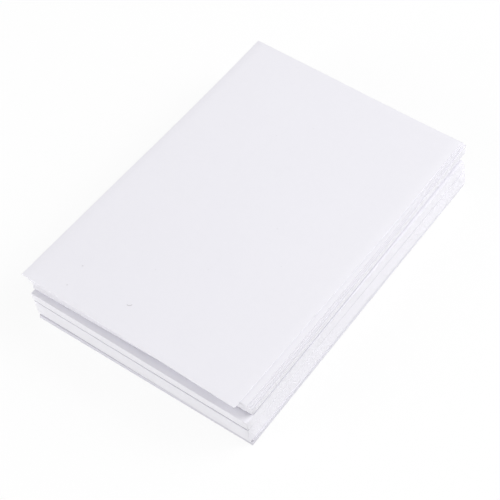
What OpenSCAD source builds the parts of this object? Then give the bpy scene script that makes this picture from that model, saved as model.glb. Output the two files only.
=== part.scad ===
// A loose stack of heavy watercolour sheets, knocked roughly square and put down by hand.
// The origin is the middle of the lowest sheet's underside, with +X along its short side,
// +Y along its long side and +Z up. The sheets are counted from the lowest one.

/* [Sheet] */
// Short side of a sheet
sheet_w = 101.6; // [60:0.1:300]
// Long side of a sheet
sheet_l = 152.4; // [90:0.1:420]
// Thickness of a sheet
sheet_t = 0.45; // [0.2:0.01:1]

/* [Cut edges] */
// How far the edge of a sheet strays from its packet's face
edge_stray = 0.1; // [0:0.01:0.4]

/* [Bottom packet] */
// Sheets in the packet that lies on the table
bottom_count = 6; // [1:1:8]

/* [Lower packet] */
// Sheets in the packet
lower_count = 17; // [1:1:20]
// Place of its lowest sheet along the short side
lower_x = 0.05; // [-6:0.05:6]
// Place of its lowest sheet along the long side
lower_y = -0.1; // [-6:0.05:6]
// Turn of the packet, counterclockwise from above
lower_turn = -0.45; // [-3:0.05:3]
// How far its face leans along the short side, from its lowest sheet to its top
lower_lean_x = -0.8; // [-3:0.05:3]
// How far its face leans along the long side
lower_lean_y = -0.35; // [-3:0.05:3]

/* [Middle packet] */
// Sheets in the packet
middle_count = 13; // [1:1:14]
// Place of its lowest sheet along the short side
middle_x = -0.8; // [-6:0.05:6]
// Place of its lowest sheet along the long side
middle_y = -0.5; // [-6:0.05:6]
// Turn of the packet, counterclockwise from above
middle_turn = -0.3; // [-3:0.05:3]
// How far its face leans along the short side, from its lowest sheet to its top
middle_lean_x = -0.3; // [-3:0.05:3]
// How far its face leans along the long side
middle_lean_y = -0.65; // [-3:0.05:3]

/* [Upper packet] */
// Sheets in the packet, whose far right corner curls up
upper_count = 10; // [1:1:14]
// Place of its lowest sheet along the short side
upper_x = -2.05; // [-6:0.05:6]
// Place of its lowest sheet along the long side
upper_y = 1.6; // [-6:0.05:6]
// Turn of the packet, counterclockwise from above
upper_turn = 0.2; // [-3:0.05:3]
// How far its face leans along the short side, from its lowest sheet to its top
upper_lean_x = 0.1; // [-3:0.05:3]
// How far its face leans along the long side
upper_lean_y = -1.5; // [-3:0.05:3]

/* [Fanned sheets] */
// Sheets that are fanned out above the upper packet
fan_count = 3; // [1:1:5]
// Place of the lowest fanned sheet along the short side
fan_x = -1.95; // [-6:0.05:6]
// Place of the lowest fanned sheet along the long side
fan_y = 0; // [-6:0.05:6]
// Turn of the lowest fanned sheet, counterclockwise from above
fan_turn = 0.15; // [-3:0.05:3]
// Step from a fanned sheet to the next one along the short side
fan_step_x = -0.5; // [-2:0.05:2]
// Step from a fanned sheet to the next one along the long side
fan_step_y = -0.25; // [-2:0.05:2]
// Turn from a fanned sheet to the next one, counterclockwise from above
fan_step_turn = -0.32; // [-1:0.02:1]

/* [Top sheet] */
// Place of the top sheet along the short side
top_x = -4.8; // [-10:0.05:10]
// Place of the top sheet along the long side
top_y = -0.35; // [-10:0.05:10]
// Turn of the top sheet, counterclockwise from above
top_turn = -1.4; // [-4:0.05:4]

/* [Seams] */
// Sheets in each run that is slid back at a seam between packets, which leaves a dark groove in front
seam_count = 2; // [0:1:3]
// How far these sheets are slid back
seam_back = 0.6; // [0:0.05:2]

/* [Curl] */
// Rise of the top sheet in the middle of its far end
curl_rise = 3.1; // [0.5:0.1:6]
// Share of that rise which the lowest curled sheet has
curl_share = 0.28; // [0.1:0.02:1]
// Length of the stretch that curls, measured from the far end
curl_length = 79; // [30:1:89]
// Turn of the line where the curl starts, counterclockwise from above
curl_turn = -20; // [-25:1:25]

/* [Hidden] */
paper_white = [0.94, 0.94, 0.96];

// One row a packet: its sheets, its lowest sheet's place and turn, and how its face leans
packets = [
    [bottom_count, [0, 0], 0, [0, 0]],
    [lower_count, [lower_x, lower_y], lower_turn, [lower_lean_x, lower_lean_y]],
    [middle_count, [middle_x, middle_y], middle_turn, [middle_lean_x, middle_lean_y]],
    [upper_count, [upper_x, upper_y], upper_turn, [upper_lean_x, upper_lean_y]]
];

// Sheets that lie flat, sheets in the packets, and sheets in the whole stack
flat_count = bottom_count + lower_count + middle_count;
packed_count = flat_count + upper_count;
sheet_count = packed_count + fan_count + 1;

// Each run of slid sheets starts above one of these: the top of the bottom packet is slid back, and
// so are the lowest sheets of the middle and the upper packet
seam_starts = [bottom_count - seam_count, bottom_count + lower_count, flat_count];

// The curl starts on a line across the stack, and the sheets above that line rise past it
curled_count = sheet_count - flat_count;
curl_start = sheet_l / 2 - curl_length;

// Room past the outline on every side, for the slabs that the outlines are cut from
reach = sheet_w + sheet_l;

function sheet_name(i) = str("sheet_", i < 10 ? "0" : "", i);

// The packet that a sheet is in, and its own number in that packet, from nought
function packet_of(i, p = 0) = i <= packets[p][0] ? [p, i - 1] : packet_of(i - packets[p][0], p + 1);

// Small stray of a cut edge, which repeats in no pattern that the eye finds
function stray(i) = edge_stray * [sin(i * 137.5), cos(i * 222.5)];

// How far back a sheet is slid
function slide_back(i) =
    len([for (start = seam_starts) if (i > start && i <= start + seam_count) start]) * seam_back;

function packed_place(p, k) =
    let (share = k / max(1, packets[p][0] - 1))
    packets[p][1] + share * packets[p][3];

function fan_place(k) = [fan_x + k * fan_step_x, fan_y + k * fan_step_y];

// Middle of a sheet, seen from above
function sheet_place(i) =
    i == sheet_count ? [top_x, top_y]
    : i > packed_count ? fan_place(i - packed_count - 1)
    : packed_place(packet_of(i)[0], packet_of(i)[1]) + stray(i) + [0, slide_back(i)];

// Turn of a sheet, seen from above
function sheet_turn(i) =
    i == sheet_count ? top_turn
    : i > packed_count ? fan_turn + (i - packed_count - 1) * fan_step_turn
    : packets[packet_of(i)[0]][2];

// Height of a sheet's underside where the stack is flat
function sheet_z(i) = (i - 1) * sheet_t;

// Each curled sheet rises more than the one below it, so that thin wedges of air open between them
function sheet_rise(i) =
    curl_rise * (curl_share + (1 - curl_share) * (i - flat_count - 1) / (curled_count - 1));

// Radius of the arc that a curled sheet's underside follows, which leaves the flat stretch smoothly
function sheet_curl_r(i) = (curl_length * curl_length + pow(sheet_rise(i), 2)) / (2 * sheet_rise(i));

// Outline of a sheet where it lies in the stack
module outline(i) {
    translate(sheet_place(i))
        rotate(sheet_turn(i))
            square([sheet_w, sheet_l], center = true);
}

// Side view of a sheet's layer: flat, then an arc that rises past the start of the curl
module curl_profile(radius) {
    translate([-reach, 0])
        square([reach, sheet_t]);
    intersection() {
        translate([0, radius])
            difference() {
                circle(r = radius, $fn = 1440);
                circle(r = radius - sheet_t, $fn = 1440);
            }
        square([reach, radius / 2]);
    }
}

// A whole curled layer, wider and longer than any sheet
module curl_layer(i) {
    translate([0, curl_start, sheet_z(i)])
        rotate(curl_turn)
            rotate([90, 0, 90])
                linear_extrude(height = 2 * reach, center = true)
                    curl_profile(sheet_curl_r(i));
}

// A sheet that lies flat on the ones below it
module flat_sheet(i) {
    translate([0, 0, sheet_z(i)])
        linear_extrude(height = sheet_t)
            outline(i);
}

// A sheet that follows the curl, on the ones below it
module curled_sheet(i) {
    intersection() {
        curl_layer(i);
        linear_extrude(height = reach)
            outline(i);
    }
}

module sheet(i) {
    color(paper_white) {
        if (i <= flat_count) flat_sheet(i);
        if (i > flat_count) curled_sheet(i);
    }
}

for (i = [1 : sheet_count])
    sheet(i);
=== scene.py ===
import math
import random

import bpy
from mathutils import Matrix, Vector


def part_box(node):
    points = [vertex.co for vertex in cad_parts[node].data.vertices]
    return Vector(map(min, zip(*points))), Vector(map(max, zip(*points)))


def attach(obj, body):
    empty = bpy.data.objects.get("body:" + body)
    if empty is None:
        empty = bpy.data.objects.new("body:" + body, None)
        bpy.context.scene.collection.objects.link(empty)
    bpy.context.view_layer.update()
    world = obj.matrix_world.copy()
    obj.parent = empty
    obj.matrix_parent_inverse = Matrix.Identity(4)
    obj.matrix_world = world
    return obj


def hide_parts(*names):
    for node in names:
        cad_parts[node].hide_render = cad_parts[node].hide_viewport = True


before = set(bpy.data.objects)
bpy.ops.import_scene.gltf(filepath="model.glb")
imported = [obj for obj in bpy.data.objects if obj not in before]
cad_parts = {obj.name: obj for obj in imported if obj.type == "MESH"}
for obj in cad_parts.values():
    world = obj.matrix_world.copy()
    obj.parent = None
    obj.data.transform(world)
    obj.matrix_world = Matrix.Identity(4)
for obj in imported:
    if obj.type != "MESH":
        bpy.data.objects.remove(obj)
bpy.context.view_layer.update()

mm = 0.001
dice = random.Random(24)
print("frame loaded:", len(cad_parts), "sheets")


class Wire:  # a socket that takes part in plain expressions
    def __init__(self, tree, socket=None):
        self.tree = tree
        self.socket = socket

    def node(self, kind, settings=None, inputs=None, output=0):
        made = self.tree.nodes.new(kind)
        for name, value in (settings or {}).items():
            setattr(made, name, value)
        for name, value in (inputs or {}).items():
            if isinstance(value, Wire):
                self.tree.links.new(value.socket, made.inputs[name])
            else:
                made.inputs[name].default_value = value
        return Wire(self.tree, made.outputs[output])

    def maths(self, operation, first, second=0.0):
        return self.node("ShaderNodeMath", {"operation": operation}, {0: first, 1: second})

    def __add__(self, other):
        return self.maths("ADD", self, other)

    __radd__ = __add__

    def __sub__(self, other):
        return self.maths("SUBTRACT", self, other)

    def __rsub__(self, other):
        return self.maths("SUBTRACT", other, self)

    def __mul__(self, other):
        return self.maths("MULTIPLY", self, other)

    __rmul__ = __mul__

    def larger(self, other):
        return self.maths("MAXIMUM", self, other)

    def size(self):
        return self.maths("ABSOLUTE", self)

    def smooth(self, low, high, toLow=0.0, toHigh=1.0):
        return self.node(
            "ShaderNodeMapRange",
            {"interpolation_type": "SMOOTHSTEP"},
            {"Value": self, "From Min": low, "From Max": high, "To Min": toLow, "To Max": toHigh},
        )

    def layer(self, name):
        return self.node("ShaderNodeAttribute", {"attribute_name": name}, output="Fac")

    def noise(self, place, scale, detail=2.0, roughness=0.5):
        return self.node(
            "ShaderNodeTexNoise",
            None,
            {"Vector": place, "Scale": scale, "Detail": detail, "Roughness": roughness},
        )

    def blend(self, share, first, second):
        return self.node(
            "ShaderNodeMix", {"data_type": "RGBA"}, {0: share, 6: first, 7: second}, output=2
        )


def newMaterial(name):
    material = bpy.data.materials.new(name)
    material.use_nodes = True
    material.node_tree.nodes.clear()
    return material, Wire(material.node_tree)


def finishMaterial(wire, shader):
    output = wire.tree.nodes.new("ShaderNodeOutputMaterial")
    wire.tree.links.new(shader.socket, output.inputs["Surface"])


paper = {
    "light": (0.885, 0.876, 0.925, 1.0),
    "dark": (0.800, 0.790, 0.842, 1.0),
    # painted light: cut edges are coloured lighter than the faces, standing in for the light on the
    # sheets' sides
    "cutEdgePaintedLight": (0.912, 0.905, 0.937, 1.0),
    # painted shade: the dark colour that seams, grooves and set-back front edges are blended towards,
    # standing in for the shade there
    "paintedShadeColour": (0.46, 0.45, 0.50, 1.0),
    "paintedShadeStrength": 0.6,
    "paintedShadeFrom": -0.1 * mm,  # where that painted shade starts to fade, past the edge of the sheet above
    "paintedShadeTo": 0.7 * mm,
    "cutFrom": 0.8,  # the upward share of the normal where a cut edge starts, and where it is in full
    "cutTo": 0.3,
    "toothSize": 1.1 * mm,
    "toothDepth": 0.022 * mm,
    "toothHeight": 0.7,  # shares of that depth
    "feltHeight": 0.3,
    "fibreHeight": 0.08,
    "cutSmoothness": 0.6,
    "feltPerMetre": 420.0,
    "cloudsPerMetre": 60.0,
    "fibreSize": 0.3 * mm,
    "fibreFlatness": 5.0,
    "darkness": 0.25,  # where the usual tone lies from light to dark, and what varies it
    "sheetTones": 0.04,
    "feltTones": 0.14,
    "toothTones": 0.10,
    "cloudTones": 0.12,
    "fibreTones": 0.10,
    "darkerBottomSheets": 6,  # the sheets of the lowest packet, and how much darker they are
    "bottomDarkening": 1.0,
    "roughness": 0.93,
    "specular": 0.2,
}

marks = {  # on the top sheet, in millimetres: x, y, radius, then how dark
    "colour": (0.45, 0.43, 0.46, 1.0),
    "specks": (
        (-40.7, -59.0, 0.5, 0.30),
        (-39.9, -69.4, 0.5, 0.26),
        (-16.6, -44.5, 0.4, 0.14),
        (10.4, -1.5, 0.4, 0.14),
        (22.1, -15.9, 0.4, 0.12),
        (0.0, -33.0, 0.4, 0.12),
        (-17.2, 37.7, 0.4, 0.12),
        (-6.7, 49.0, 0.4, 0.12),
    ),
    "speckCore": 0.4,  # share of a speck's radius that is darkest
    "fibre": (-15.15, -62.55, 1.3, 0.7),
    "fibreWidth": 0.22,
    "fibreCore": 0.3,
    "fibreSide": (0.58, -0.82),  # the stretch of the fibre's circle that shows
    "fibreShown": 0.7,
}


def markShade(wire, place):
    flat = wire.node(
        "ShaderNodeVectorMath", {"operation": "MULTIPLY"}, {0: place, 1: (1 / mm, 1 / mm, 0)}
    )

    def away(x, y):
        return wire.node(
            "ShaderNodeVectorMath", {"operation": "DISTANCE"}, {0: flat, 1: (x, y, 0)}, output="Value"
        )

    x, y, radius, strength = marks["fibre"]
    width = marks["fibreWidth"]
    ring = (away(x, y) - radius).size().smooth(marks["fibreCore"] * width, width, 1.0, 0.0)
    sideX, sideY = marks["fibreSide"]
    side = away(x + sideX * radius, y + sideY * radius)
    shade = ring * side.smooth(marks["fibreShown"] * radius, radius, strength, 0.0)
    for x, y, radius, strength in marks["specks"]:
        shade = shade + away(x, y).smooth(marks["speckCore"] * radius, radius, strength, 0.0)
    return shade


def paperMaterial(name, marked=False, bottomDarkening=0.0):
    material, wire = newMaterial(name)
    place = wire.node("ShaderNodeTexCoord", output="Object")
    tooth = wire.noise(place, 1 / paper["toothSize"], 3.0, 0.55)
    felt = wire.noise(place, paper["feltPerMetre"])
    cloud = wire.noise(place, paper["cloudsPerMetre"])
    layers = wire.node(
        "ShaderNodeVectorMath", {"operation": "MULTIPLY"}, {0: place, 1: (1, 1, paper["fibreFlatness"])}
    )
    fibres = wire.noise(layers, 1 / paper["fibreSize"], 3.0, 0.6)
    facing = wire.node("ShaderNodeNewGeometry", output="Normal")
    upright = wire.node("ShaderNodeSeparateXYZ", None, {0: facing}, output="Z").size()
    cut = upright.smooth(paper["cutTo"], paper["cutFrom"], 1.0, 0.0)
    height = paper["toothHeight"] * tooth + paper["feltHeight"] * felt
    height = height * (1 - paper["cutSmoothness"] * cut) + paper["fibreHeight"] * (fibres * cut)
    shade = paper["darkness"] + paper["sheetTones"] * (wire.layer("sheetTone") - 0.5)
    shade = shade + paper["feltTones"] * (felt - 0.5) + paper["toothTones"] * (tooth - 0.5)
    shade = shade + paper["cloudTones"] * (cloud - 0.5)
    shade = shade + paper["fibreTones"] * (cut * (fibres - 0.5)) + bottomDarkening
    # the cut edges get the lighter colour, painted light on the sheets' sides
    colour = wire.blend(shade, wire.blend(cut, paper["light"], paper["cutEdgePaintedLight"]), paper["dark"])
    if marked:
        colour = wire.blend(markShade(wire, place), colour, marks["colour"])
    # painted shade: the colour is darkened near the edge of the sheet above and on set-back front
    # edges, standing in for the shade in seams and grooves
    past = wire.layer("pastSide").larger(wire.layer("pastEnd"))
    near = past.smooth(paper["paintedShadeFrom"], paper["paintedShadeTo"], paper["paintedShadeStrength"], 0.0)
    shaded = wire.layer("sheetPaintedShade") * near * (1 - cut) + wire.layer("frontPaintedShade") * cut
    colour = wire.blend(shaded, colour, paper["paintedShadeColour"])
    bump = wire.node(
        "ShaderNodeBump", None, {"Strength": 1.0, "Distance": paper["toothDepth"], "Height": height}
    )
    shader = wire.node(
        "ShaderNodeBsdfPrincipled",
        None,
        {
            "Base Color": colour,
            "Roughness": paper["roughness"],
            "Specular IOR Level": paper["specular"],
            "Normal": bump,
        },
    )
    finishMaterial(wire, shader)
    return material


paperSurface = paperMaterial("coldPressPaper")
markedSurface = paperMaterial("coldPressPaperTop", marked=True)
# the sheets of the lowest packet are drawn darker
bottomSheetsSurface = paperMaterial("coldPressPaperBottom", bottomDarkening=paper["bottomDarkening"])
print("paper made")


sheet = {
    "width": 101.6 * mm,
    "length": 152.4 * mm,
    "thickness": 0.426 * mm,
    "cellsAcross": 25,
    "cellsAlong": 38,
    "edgeRound": 0.012 * mm,
    "edgeSteps": 2,
    "sharpAbove": math.radians(45),
    "smoothBelow": math.radians(35),
}

curl = {  # the upper sheets rise towards their far right corner, the top one most
    "firstSheet": 37,
    "start": -2.8 * mm,
    "length": 79.0 * mm,
    "lowRise": 0.868 * mm,
    "topRise": 3.1 * mm,
    "turn": math.radians(-20),
}

air = {  # gaps below the sheets; the seams and the fanned sheets let more air in than the rest
    "usual": 0.004 * mm,
    "under": {1: 0.0, 7: 0.12 * mm, 24: 0.2 * mm, 37: 0.25 * mm, 47: 0.2 * mm},
    "underFanned": 0.05 * mm,
    "firstFanned": 47,
}

seams = {  # painted shade: how much a sheet's colour is darkened where the one above is set back, standing in for the shade in the seam
    "usual": 0.04,
    "shaded": {4: 0.75, 23: 1.0, 36: 1.0, 46: 0.5, 47: 0.45, 48: 0.5, 49: 0.15, 50: 0.0},
    "fadeFrom": -10.0 * mm,  # from here towards the far end that painted shade falls to the faded share
    "fadeTo": 60.0 * mm,
    "faded": 0.3,
    "frontDepth": 2.2 * mm,
    "inFront": {  # painted shade on a sheet's front edge at its left and its right end, where it lies in the shadow of the sheets above
        1: (0.09, 0.3),
        2: (0.09, 0.3),
        3: (0.05, 0.15),
        4: (0.0, 0.0),
        5: (0.09, 0.3),
        6: (0.09, 0.3),
        7: (0.0, 0.0),
        23: (0.0, 0.0),
        24: (0.06, 0.2),
        25: (0.06, 0.2),
        26: (0.0, 0.0),
        36: (0.0, 0.0),
        37: (0.25, 0.5),
        38: (0.25, 0.45),
        39: (0.25, 0.25),
        40: (0.25, 0.15),
        46: (0.2, 0.0),
        47: (0.0, 0.0),
        50: (0.0, 0.0),
    },
}

setBack = {  # how far a sheet's front edge is set back
    "depth": 2.0 * mm,
    "ends": {  # in millimetres, at its left and its right end
        1: (0.0, 0.25),
        6: (0.0, 0.2),
        7: (0.0, 0.0),
        36: (0.0, 0.0),
        37: (0.0, 0.8),
        41: (0.0, 1.15),
        46: (0.85, 1.6),
        47: (0.85, 1.7),
        48: (0.85, 2.15),
        49: (0.85, 2.55),
        50: (0.0, 0.0),
    },
}

knock = {  # the upper packet leans to the right, and sheets that are nearly flush are made so
    "leanFrom": 37,
    "leanTo": 46,
    "lean": 0.6 * mm,
    "flush": 0.3 * mm,
}

waves = {  # the top sheet has their full height, and those below it less and less
    "height": 0.5 * mm,
    "leastHeight": 0.001 * mm,  # lower waves are left out
    "size": 45 * mm,
}


def deselectAll():
    if bpy.context.object and bpy.context.object.mode != "OBJECT":
        bpy.ops.object.mode_set(mode="OBJECT")
    bpy.ops.object.select_all(action="DESELECT")


def modelBlank():
    deselectAll()
    bpy.ops.mesh.primitive_grid_add(
        x_subdivisions=sheet["cellsAcross"], y_subdivisions=sheet["cellsAlong"], size=1.0
    )
    blank = bpy.context.object
    blank.name = "blankSheet"
    bpy.ops.transform.resize(value=(sheet["width"], sheet["length"], 1.0))
    bpy.ops.object.transform_apply(location=False, rotation=False, scale=True)
    bpy.ops.object.mode_set(mode="EDIT")
    bpy.ops.mesh.select_mode(type="FACE")
    bpy.ops.mesh.select_all(action="SELECT")
    bpy.ops.mesh.extrude_region_move(TRANSFORM_OT_translate={"value": (0, 0, sheet["thickness"])})
    bpy.ops.mesh.select_all(action="SELECT")
    bpy.ops.mesh.normals_make_consistent(inside=False)
    bpy.ops.mesh.select_mode(type="EDGE")
    bpy.ops.mesh.select_all(action="DESELECT")
    bpy.ops.mesh.edges_select_sharp(sharpness=sheet["sharpAbove"])
    bpy.ops.mesh.bevel(offset=sheet["edgeRound"], segments=sheet["edgeSteps"], affect="EDGES")
    bpy.ops.object.mode_set(mode="OBJECT")
    return blank


def sheetSpot(number, node):
    points = [v.co.copy() for v in node.data.vertices]
    nearLeft = min(points, key=lambda p: p.x + p.y)
    farLeft = min(points, key=lambda p: p.x - p.y)
    nearRight = max(points, key=lambda p: p.x - p.y)
    farRight = max(points, key=lambda p: p.x + p.y)
    middle = (nearLeft + farLeft + nearRight + farRight) / 4
    side = farLeft - nearLeft
    x = middle.x
    if knock["leanFrom"] <= number <= knock["leanTo"]:
        x += knock["lean"] * (number - knock["leanFrom"]) / (knock["leanTo"] - knock["leanFrom"])
    return x, middle.y, math.atan2(-side.x, side.y)


def evened(loose, index):  # knocked flush with the sheets next to it, unless one is slid away
    x, y, turn = loose[index]
    near = [
        spot for spot in loose[max(0, index - 1):index + 2]
        if abs(spot[0] - x) < knock["flush"] and abs(spot[1] - y) < knock["flush"]
    ]
    return sum(spot[0] for spot in near) / len(near), sum(spot[1] for spot in near) / len(near), turn


def copySheet(blank, name, x, y, z, turn):
    deselectAll()
    bpy.context.view_layer.objects.active = blank
    blank.select_set(True)
    bpy.ops.object.duplicate(linked=False)
    made = bpy.context.object
    made.name = name
    made.location = (x, y, z)
    made.rotation_euler = (0, 0, turn)
    bpy.ops.object.transform_apply(location=True, rotation=True, scale=False)
    return made


def push(made, direction, distance, shareAt):
    group = made.vertex_groups.new(name="push")
    for vertex in made.data.vertices:
        share = shareAt(vertex.co)
        if share > 0:
            group.add([vertex.index], min(1.0, share), "REPLACE")
    moved = made.modifiers.new("push", "DISPLACE")
    moved.direction = direction
    moved.mid_level = 0.0
    moved.strength = distance
    moved.vertex_group = group.name
    bpy.ops.object.modifier_apply(modifier=moved.name)
    made.vertex_groups.clear()


def atEnds(table, number):  # a sheet that the table leaves out gets values between its neighbours'
    below = max(n for n in table if n <= number)
    above = min(n for n in table if n >= number)
    share = (number - below) / max(1, above - below)
    return [low + share * (high - low) for low, high in zip(table[below], table[above])]


def drawBack(made, number, middle):
    left, right = [mm * distance for distance in atEnds(setBack["ends"], number)]
    if right == 0:
        return
    front = min(v.co.y for v in made.data.vertices)

    def shareAt(place):
        if place.y > front + setBack["depth"]:
            return 0.0
        across = (place.x - middle) / sheet["width"] + 0.5
        return (left + across * (right - left)) / right

    push(made, "Y", right, shareAt)


def curlUp(made, level):
    rise = curl["lowRise"] + level * (curl["topRise"] - curl["lowRise"])
    radius = (curl["length"] ** 2 + rise ** 2) / (2 * rise)

    def share(place):
        along = (place.y - curl["start"]) * math.cos(curl["turn"]) - place.x * math.sin(curl["turn"])
        if along <= 0:
            return 0.0
        return (radius - math.sqrt(radius ** 2 - along ** 2)) / (2 * rise)

    push(made, "Z", 2 * rise, share)


def markSheet(made, name, valueAt):
    layer = made.data.attributes.new(name, "FLOAT", "POINT")
    layer.data.foreach_set("value", [valueAt(v.co) for v in made.data.vertices])


# painted shade along the seams, weaker towards the far end
def seamPaintedShade(number):
    strength = seams["shaded"].get(number, seams["usual"])

    def shadeAt(place):
        share = (place.y - seams["fadeFrom"]) / (seams["fadeTo"] - seams["fadeFrom"])
        return strength * (1 - (1 - seams["faded"]) * min(1.0, max(0.0, share)))

    return shadeAt


# painted shade on the front edges of set-back sheets, standing in for the shade under the sheets that
# overhang them
def frontPaintedShade(made, number):
    left, right = atEnds(seams["inFront"], number)
    front = min(v.co.y for v in made.data.vertices)

    def shadeAt(place):
        if place.y > front + seams["frontDepth"]:
            return 0.0
        across = min(1.0, max(0.0, place.x / sheet["width"] + 0.5))
        return left + across * (right - left)

    return shadeAt


def pastSheet(above, spot):  # how far a point lies past the sides and the ends of a sheet
    x, y, turn = spot
    left, right = [mm * distance for distance in atEnds(setBack["ends"], above)]

    def along(place):
        return (place.x - x) * math.cos(turn) + (place.y - y) * math.sin(turn)

    def pastSide(place):
        return abs(along(place)) - sheet["width"] / 2

    def pastEnd(place):
        up = (place.y - y) * math.cos(turn) - (place.x - x) * math.sin(turn)
        back = left + (along(place) / sheet["width"] + 0.5) * (right - left)
        return abs(up) - sheet["length"] / 2 + (back if up < 0 else 0.0)

    return pastSide, pastEnd


waveTexture = bpy.data.textures.new("sheetWaves", "CLOUDS")
waveTexture.noise_scale = waves["size"]
waveTexture.noise_depth = 1


def wave(made, height):
    if height < waves["leastHeight"]:
        return
    waved = made.modifiers.new("wave", "DISPLACE")
    waved.direction = "Z"
    waved.texture = waveTexture
    waved.texture_coords = "LOCAL"
    waved.mid_level = 0.5
    waved.strength = height
    bpy.ops.object.modifier_apply(modifier=waved.name)


blank = modelBlank()
names = sorted(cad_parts)
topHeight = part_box(names[-1])[0].z
loose = [sheetSpot(number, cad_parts[name]) for number, name in enumerate(names, start=1)]
spots = [evened(loose, index) for index in range(len(loose))]
z = 0.0
for number, nodeName in enumerate(names, start=1):
    x, y, turn = spots[number - 1]
    usual = air["underFanned"] if number >= air["firstFanned"] else air["usual"]
    z += air["under"].get(number, usual)
    made = copySheet(blank, "card_" + nodeName[-2:], x, y, z, turn)
    drawBack(made, number, x)
    if number >= curl["firstSheet"]:
        curlUp(made, (number - curl["firstSheet"]) / (len(names) - curl["firstSheet"]))
    wave(made, waves["height"] * (z / topHeight) ** 2)
    tone = dice.random()
    markSheet(made, "sheetTone", lambda place: tone)
    # painted shade along the seams
    markSheet(made, "sheetPaintedShade", seamPaintedShade(number))
    # painted shade on the set-back front edges
    markSheet(made, "frontPaintedShade", frontPaintedShade(made, number))
    above = min(number + 1, len(names))
    pastSide, pastEnd = pastSheet(above, spots[above - 1])
    markSheet(made, "pastSide", pastSide)
    markSheet(made, "pastEnd", pastEnd)
    surface = bottomSheetsSurface if number <= paper["darkerBottomSheets"] else paperSurface
    made.data.materials.append(markedSurface if number == len(names) else surface)
    bpy.ops.object.shade_smooth_by_angle(angle=sheet["smoothBelow"])
    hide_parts(nodeName)
    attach(made, "root")
    z += sheet["thickness"]
bpy.data.objects.remove(blank)
print("sheets laid:", len(names))


studio = {
    "floorSize": 8.0,
    "floorColour": (0.6, 0.6, 0.605, 1.0),
    "floorSeen": (0.96, 0.96, 0.96, 1.0),
    "floorWhite": 0.9,
    "domeStrength": 0.35,
    "lamps": (  # name, place, size in metres, power in watts
        ("sideLamp", Vector((1.1, 0.45, 0.75)), 1.1, 6.0),
        ("farLamp", Vector((0.75, 0.95, 0.9)), 1.1, 15.2),
        ("frontLamp", Vector((-0.8, -1.2, 0.42)), 0.9, 15.2),
    ),
}

view = {
    "place": Vector((0.23405, -0.3294, 0.5238)),
    "aim": Vector((-0.00249, -0.00217, 0.0)),
    "roll": math.radians(-0.863),
    "lens": 118.18,
    "sensor": 36.0,
}

deselectAll()
bpy.ops.mesh.primitive_plane_add(size=studio["floorSize"], location=(0, 0, 0))
floor = bpy.context.object
floor.name = "floor"
material, wire = newMaterial("floorWhite")
seen = wire.node("ShaderNodeLightPath", output="Is Camera Ray")
tint = wire.blend(seen, studio["floorColour"], studio["floorSeen"])
matt = wire.node("ShaderNodeBsdfDiffuse", None, {"Color": tint})
glow = wire.node("ShaderNodeEmission", None, {"Color": (1, 1, 1, 1), "Strength": 1.0})
finishMaterial(
    wire, wire.node("ShaderNodeMixShader", None, {0: seen * studio["floorWhite"], 1: matt, 2: glow})
)
floor.data.materials.append(material)

world = bpy.data.worlds.new("studioWorld")
bpy.context.scene.world = world
world.use_nodes = True
world.node_tree.nodes.clear()
wire = Wire(world.node_tree)
dome = wire.node(
    "ShaderNodeBackground", None, {"Color": (1, 1, 1, 1), "Strength": studio["domeStrength"]}
)
backdrop = wire.node("ShaderNodeBackground", None, {"Color": (1, 1, 1, 1), "Strength": 1.0})
direct = wire.node("ShaderNodeLightPath", output="Is Camera Ray")
mirrored = wire.node("ShaderNodeLightPath", output="Is Glossy Ray")
shown = wire.node("ShaderNodeMixShader", None, {0: direct.larger(mirrored), 1: dome, 2: backdrop})
output = world.node_tree.nodes.new("ShaderNodeOutputWorld")
world.node_tree.links.new(shown.socket, output.inputs["Surface"])

for lampName, lampPlace, lampSize, lampPower in studio["lamps"]:
    bpy.ops.object.light_add(type="AREA", location=lampPlace)
    lamp = bpy.context.object
    lamp.name = lampName
    lamp.data.shape = "SQUARE"
    lamp.data.size = lampSize
    lamp.data.energy = lampPower
    lamp.rotation_euler = (-lampPlace).to_track_quat("-Z", "Y").to_euler()

bpy.ops.object.camera_add(location=view["place"])
camera = bpy.context.object
camera.name = "photoCamera"
aimed = (view["aim"] - view["place"]).to_track_quat("-Z", "Y").to_matrix()
camera.rotation_euler = (aimed @ Matrix.Rotation(view["roll"], 3, "Z")).to_euler()
camera.data.sensor_width = view["sensor"]
camera.data.lens = view["lens"]
bpy.context.scene.camera = camera
bpy.context.scene.view_settings.view_transform = "Standard"
print("studio ready")
